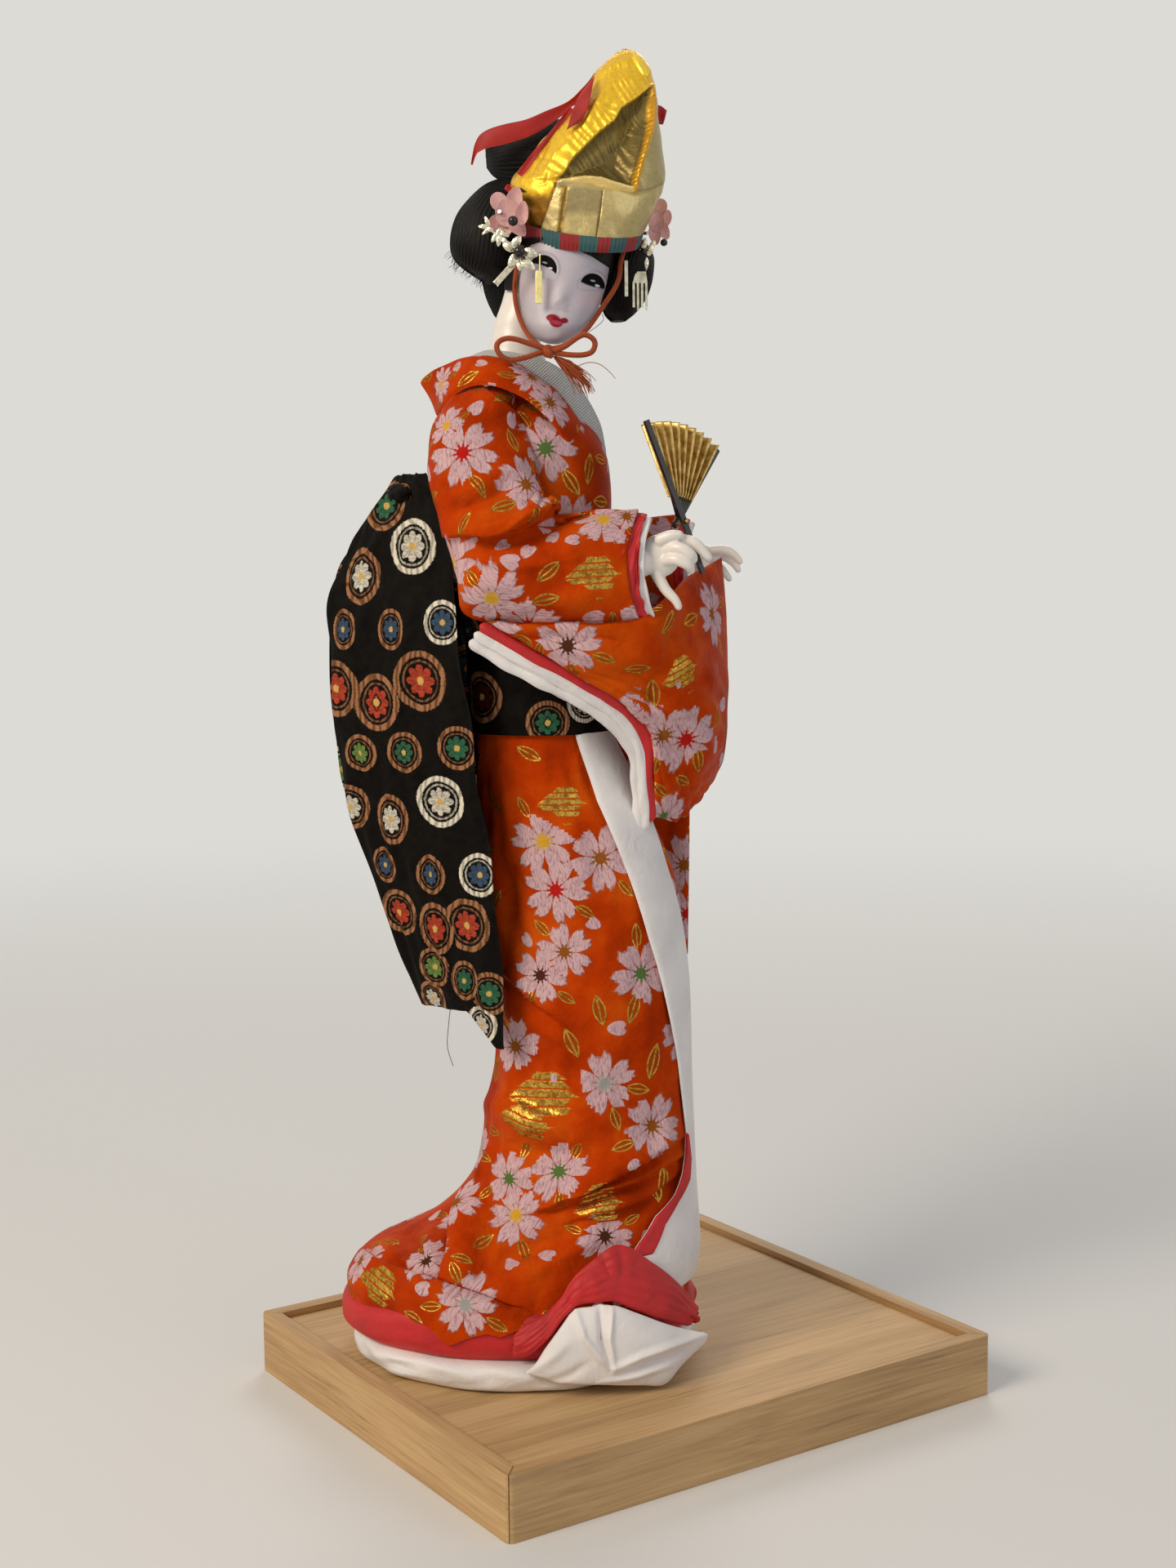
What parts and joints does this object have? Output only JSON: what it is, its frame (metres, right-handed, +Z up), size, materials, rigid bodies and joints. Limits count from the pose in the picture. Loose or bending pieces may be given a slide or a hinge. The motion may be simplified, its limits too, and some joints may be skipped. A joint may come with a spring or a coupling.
{
  "type": "display doll",
  "caption": "Standing dancer doll in a long brocade kimono and tall gold hat, holding a folding fan, on a framed wooden stand.",
  "frame": {"origin": "centre of the stand's underside, on the surface it stands on", "axes": "+X along the stand's long side, +Y towards its back, +Z up; the doll faces between +X and -Y"},
  "size_m": [0.212, 0.181, 0.4951],
  "materials": {
    "kiri_wood": "oiled, along the grain, satin",
    "orange_brocade": "woven silk brocade with blossoms and gold thread",
    "red_silk": "plain silk, satin",
    "white_silk": "plain silk, soft satin",
    "black_brocade": "woven brocade with ring motifs",
    "gold_cloth": "crinkled gold-foil cloth",
    "patterned_braid": "woven band of red and green checks",
    "silver_foil": "bright foil",
    "steel_wire": "drawn wire",
    "brass_rivet": "turned",
    "black_hair": "combed silk strands, glossy",
    "white_lacquer": "polished white lacquer",
    "pink_silk": "starched petals",
    "straw": "bound straw",
    "orange_cord": "twisted cord",
    "black_lacquer": "black lacquered bamboo",
    "gold_paper": "gold leaf paper, pleated"
  },
  "bodies": {
    "root": {"stand_front_rail": "kiri_wood", "stand_right_rail": "kiri_wood", "stand_back_rail": "kiri_wood", "stand_left_rail": "kiri_wood", "stand_panel": "kiri_wood", "stand_batten": "kiri_wood", "leg_wire_right": "steel_wire", "leg_wire_left": "steel_wire", "skirt": "orange_brocade", "bodice": "orange_brocade", "kimono_collar": "orange_brocade", "right_sleeve": "orange_brocade", "left_sleeve": "orange_brocade", "right_sleeve_bag": "orange_brocade", "left_sleeve_bag": "orange_brocade", "skirt_wadding": "straw", "torso": "straw", "white_hem": "white_silk", "front_band": "white_silk", "white_front_fold": "white_silk", "under_collar": "white_silk", "right_cuff_white": "white_silk", "left_cuff_white": "white_silk", "right_bag_white": "white_silk", "red_hem": "red_silk", "red_front_flap": "red_silk", "right_cuff_red": "red_silk", "left_cuff_red": "red_silk", "right_bag_red": "red_silk", "sash_belt": "black_brocade", "sash_pillow": "black_brocade", "sash_tail_right": "black_brocade", "sash_tail_left": "black_brocade", "right_hand": "white_lacquer", "left_hand": "white_lacquer", "fan_near_guard": "black_lacquer", "fan_leaf": "gold_paper", "fan_rivet": "brass_rivet"},
    "head": {"head": "white_lacquer", "hat": "gold_cloth", "hat_band": "patterned_braid", "hat_ribbon": "red_silk", "hair_cap": "black_hair", "hair_right_wing": "black_hair", "hair_left_wing": "black_hair", "hair_nape_roll": "black_hair", "hair_top_knot": "black_hair", "right_pin": "silver_foil", "left_pin": "silver_foil", "right_pink_flower": "pink_silk", "left_pink_flower": "pink_silk", "right_silver_spray": "silver_foil", "left_silver_spray": "silver_foil", "chin_cord": "orange_cord", "chin_bow": "orange_cord", "tassel": "orange_cord"},
    "right_strip": {"right_strip": "silver_foil"},
    "left_strip": {"left_strip": "silver_foil"},
    "left_fringe": {"left_fringe": "silver_foil"},
    "fan_guard": {"fan_far_guard": "black_lacquer"}
  },
  "joints": [
    {"name": "head_turn", "type": "hinge", "parent": "root", "child": "head", "pos_m": [-0.0376, 0.01571, 0.3705], "axis": [0, 0, 1], "range_deg": [-15, 15]},
    {"name": "fan_fold", "type": "hinge", "parent": "root", "child": "fan_guard", "pos_m": [-0.00396, -0.04675, 0.324], "axis": [-0.1341, 0.975, -0.1772], "range_deg": [-58, 0], "deforming": ["fan_leaf"]},
    {"name": "right_strip_swing", "type": "hinge", "parent": "head", "child": "right_strip", "pos_m": [-0.04478, -0.00806, 0.41589], "axis": [0.8293, -0.5588, 0], "range_deg": [-40, 5]},
    {"name": "left_strip_swing", "type": "hinge", "parent": "head", "child": "left_strip", "pos_m": [-0.00106, -0.01163, 0.41716], "axis": [0.8293, -0.5588, 0], "range_deg": [-40, 5]},
    {"name": "left_fringe_swing", "type": "hinge", "parent": "head", "child": "left_fringe", "pos_m": [0.00463, -0.012, 0.41366], "axis": [0.8293, -0.5588, 0], "range_deg": [-40, 5]}
  ]
}
